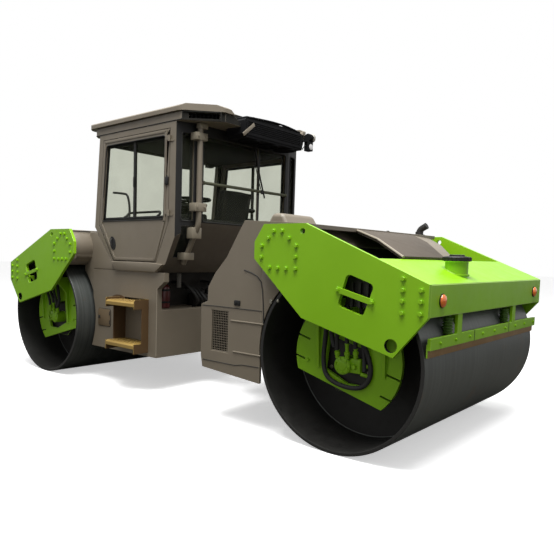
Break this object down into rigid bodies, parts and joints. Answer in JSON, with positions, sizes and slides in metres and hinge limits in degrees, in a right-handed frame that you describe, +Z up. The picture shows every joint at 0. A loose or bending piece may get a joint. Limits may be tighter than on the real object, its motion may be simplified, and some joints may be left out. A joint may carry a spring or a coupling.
{
  "type": "tandem drum road roller",
  "caption": "Articulated road roller with two smooth steel drums, closed cab over the front half and engine hood over the rear half.",
  "frame": {"origin": "on the ground, midway between the drums, on the steering pin's axis", "axes": "+X forward towards the cab's drum, +Y left, +Z up"},
  "size_m": [5.008, 2.276, 2.655],
  "materials": {
    "lime_paint": "gloss enamel",
    "grey_paint": "satin enamel",
    "drum_steel": "rolled steel, worn",
    "dark_steel": "black enamel",
    "step_paint": "worn yellow enamel",
    "red_paint": "gloss enamel",
    "glass": "tinted safety glass",
    "orange_lens": "moulded lens",
    "black_plastic": "moulded",
    "seat_fabric": "woven cover over foam",
    "chrome_rod": "hard chrome"
  },
  "bodies": {
    "front_frame": {"front_beam": "grey_paint", "front_left_plate": "lime_paint", "front_right_plate": "lime_paint", "front_bumper": "lime_paint", "front_tank": "lime_paint", "front_left_support": "lime_paint", "front_right_support": "lime_paint", "front_scraper": "lime_paint", "front_lamps": "orange_lens", "front_cover": "grey_paint", "front_body": "grey_paint", "step_treads": "step_paint", "cab_frame": "grey_paint", "rear_glass": "glass", "front_glass": "glass", "roof": "grey_paint", "roof_unit": "black_plastic", "work_lamps": "black_plastic", "seat": "seat_fabric", "steering_console": "black_plastic", "fire_extinguisher": "red_paint", "post_pipe": "grey_paint"},
    "rear_frame": {"rear_beam": "grey_paint", "rear_left_plate": "lime_paint", "rear_right_plate": "lime_paint", "rear_bumper": "lime_paint", "rear_tank": "lime_paint", "rear_left_support": "lime_paint", "rear_right_support": "lime_paint", "rear_scraper": "lime_paint", "rear_lamps": "orange_lens", "rear_cover": "grey_paint", "engine_hood": "grey_paint", "hood_grilles": "dark_steel", "engine_block": "dark_steel", "rear_chassis": "dark_steel", "exhaust_pipe": "dark_steel"},
    "front_drum": {"front_drum": "drum_steel"},
    "rear_drum": {"rear_drum": "drum_steel"},
    "centre_joint": {"centre_joint": "dark_steel"},
    "left_door": {"left_door": "grey_paint", "left_door_glass": "glass"},
    "right_door": {"right_door": "grey_paint", "right_door_glass": "glass"},
    "left_barrel": {"left_ram_barrel": "dark_steel"},
    "right_barrel": {"right_ram_barrel": "dark_steel"},
    "left_rod": {"left_ram_rod": "chrome_rod"},
    "right_rod": {"right_ram_rod": "chrome_rod"}
  },
  "joints": [
    {"name": "steering", "type": "hinge", "parent": "front_frame", "child": "centre_joint", "pos_m": [0, 0, 0.56], "axis": [0, 0, 1], "range_deg": [-35, 35]},
    {"name": "oscillation", "type": "hinge", "parent": "centre_joint", "child": "rear_frame", "pos_m": [-0.3, 0, 0.56], "axis": [1, 0, 0], "range_deg": [-8, 8]},
    {"name": "front_drum_roll", "type": "hinge", "parent": "front_frame", "child": "front_drum", "pos_m": [1.825, 0, 0.625], "axis": [0, 1, 0], "continuous": true},
    {"name": "rear_drum_roll", "type": "hinge", "parent": "rear_frame", "child": "rear_drum", "pos_m": [-1.825, 0, 0.625], "axis": [0, 1, 0], "continuous": true},
    {"name": "left_door_hinge", "type": "hinge", "parent": "front_frame", "child": "left_door", "pos_m": [0.04, 0.895, 1.8], "axis": [0, 0, 1], "range_deg": [0, 75]},
    {"name": "right_door_hinge", "type": "hinge", "parent": "front_frame", "child": "right_door", "pos_m": [0.04, -0.895, 1.8], "axis": [0, 0, -1], "range_deg": [0, 75]},
    {"name": "left_ram_swing", "type": "hinge", "parent": "front_frame", "child": "left_barrel", "pos_m": [0.5, 0.2, 0.56], "axis": [0, 0, 1], "range_deg": [-8, 8]},
    {"name": "right_ram_swing", "type": "hinge", "parent": "front_frame", "child": "right_barrel", "pos_m": [0.5, -0.2, 0.56], "axis": [0, 0, 1], "range_deg": [-8, 8]},
    {"name": "left_ram_stroke", "type": "slide", "parent": "left_barrel", "child": "left_rod", "axis": [-1, 0, 0], "range_m": [-0.119, 0.119]},
    {"name": "right_ram_stroke", "type": "slide", "parent": "right_barrel", "child": "right_rod", "axis": [-1, 0, 0], "range_m": [-0.119, 0.119]}
  ],
  "couplings": [
    {"joint": "left_ram_swing", "follows": "steering", "ratio": 0.2016},
    {"joint": "right_ram_swing", "follows": "steering", "ratio": 0.2016},
    {"joint": "left_ram_stroke", "follows": "steering", "m_per_rad": 0.19372},
    {"joint": "right_ram_stroke", "follows": "steering", "m_per_rad": -0.19372}
  ]
}
